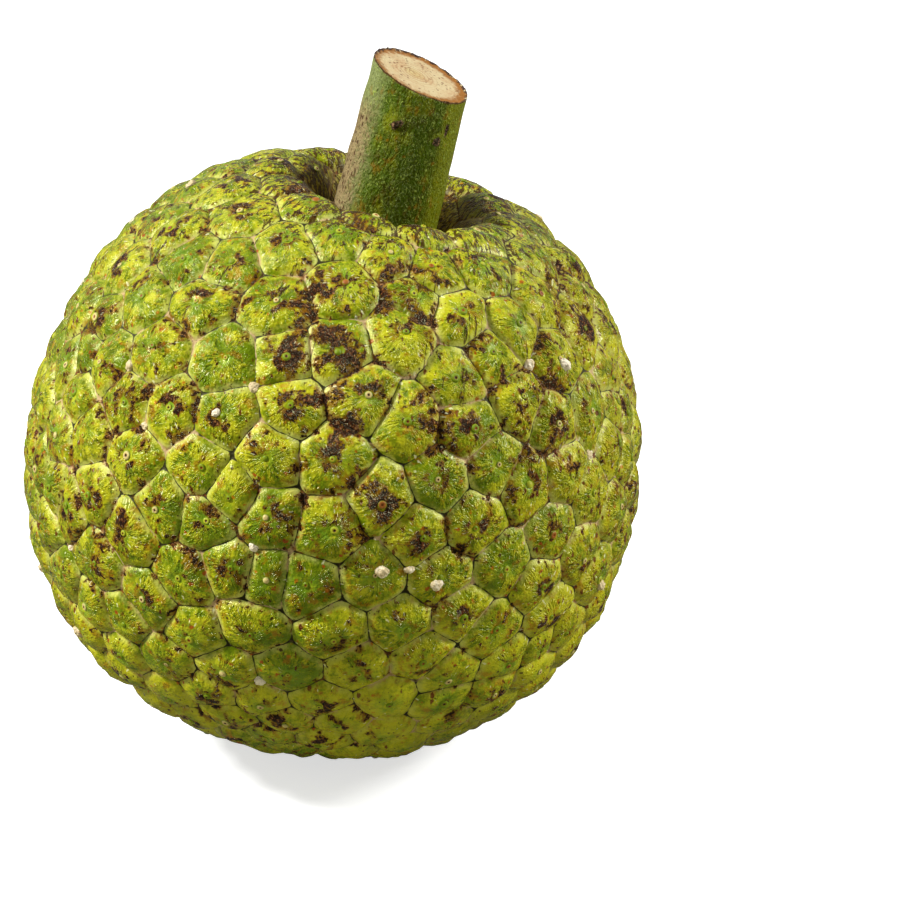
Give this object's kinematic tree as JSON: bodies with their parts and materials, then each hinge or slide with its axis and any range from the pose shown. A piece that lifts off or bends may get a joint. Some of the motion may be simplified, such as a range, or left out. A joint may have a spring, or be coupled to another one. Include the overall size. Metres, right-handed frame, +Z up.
{
  "type": "breadfruit",
  "caption": "Whole round green breadfruit with a bumpy skin of many-sided fruitlets and a short, slantwise cut stem standing out of a pit in its crown, resting on a small flat spot.",
  "frame": {"origin": "middle of the flat spot on the underside, which the fruit stands on", "axes": "+Z up; the core and the stem lean 13 degrees from +Z towards +X; -Y is the side that was pictured"},
  "size_m": [0.1497, 0.148, 0.1695],
  "materials": {
    "skin": "satin",
    "stem_bark": "satin",
    "latex": "matte"
  },
  "bodies": {
    "root": {"fruit": "skin", "stem": "stem_bark"}
  },
  "joints": []
}
